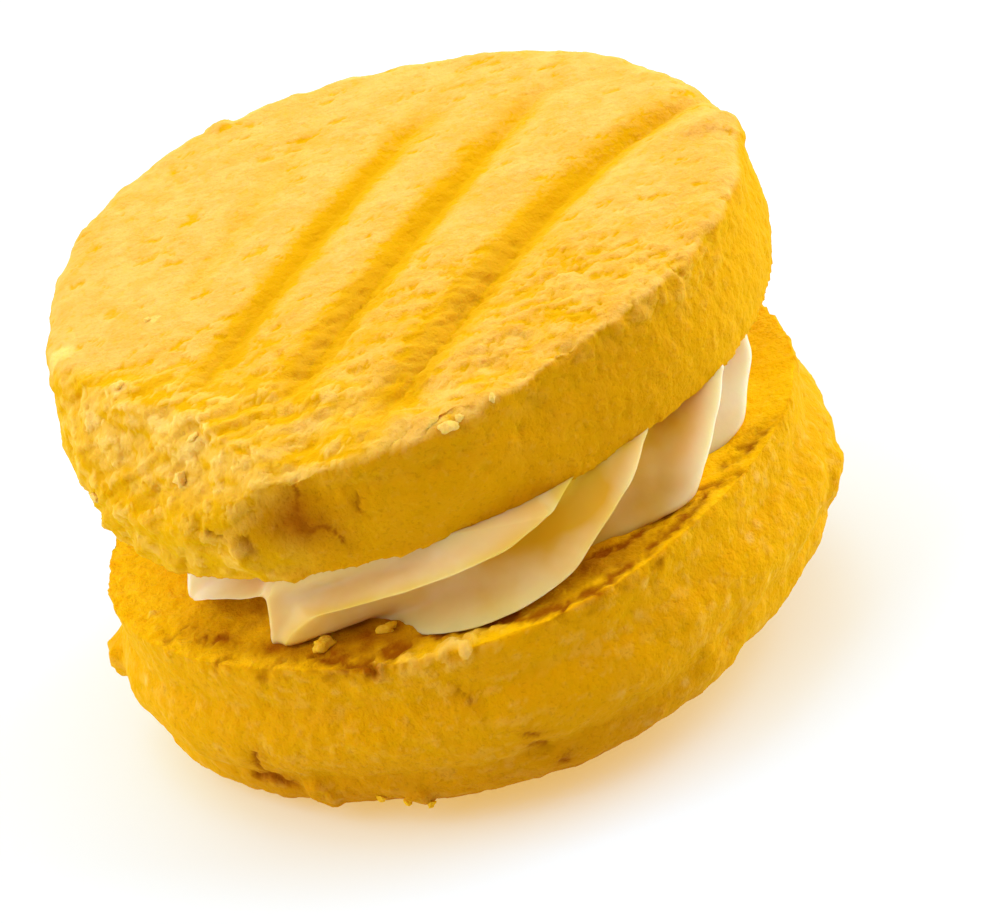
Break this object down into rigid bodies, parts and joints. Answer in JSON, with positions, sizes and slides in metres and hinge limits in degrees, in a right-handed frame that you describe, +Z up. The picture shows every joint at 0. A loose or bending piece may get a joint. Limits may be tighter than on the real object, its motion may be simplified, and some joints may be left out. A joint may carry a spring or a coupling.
{
  "type": "sandwich biscuit",
  "caption": "Sandwich biscuit of thick round shortbread, domed sides marked by a fork, with a star-piped cream filling between the flat sides.",
  "frame": {"origin": "on the surface the biscuit rests on, at the middle of its overall width and depth", "axes": "+Z up, the front with the open side of the filling faces -Y, and the sandwich leans 5 degrees towards -X"},
  "size_m": [0.052, 0.0562, 0.0325],
  "materials": {
    "bottom_shortbread": "matt golden yellow crumb, browned where it lay on the tin",
    "buttercream": "smooth satin, ivory",
    "top_shortbread": "matt golden yellow crumb"
  },
  "bodies": {
    "root": {"bottom_biscuit": "bottom_shortbread", "cream_filling": "buttercream", "top_biscuit": "top_shortbread"}
  },
  "joints": []
}
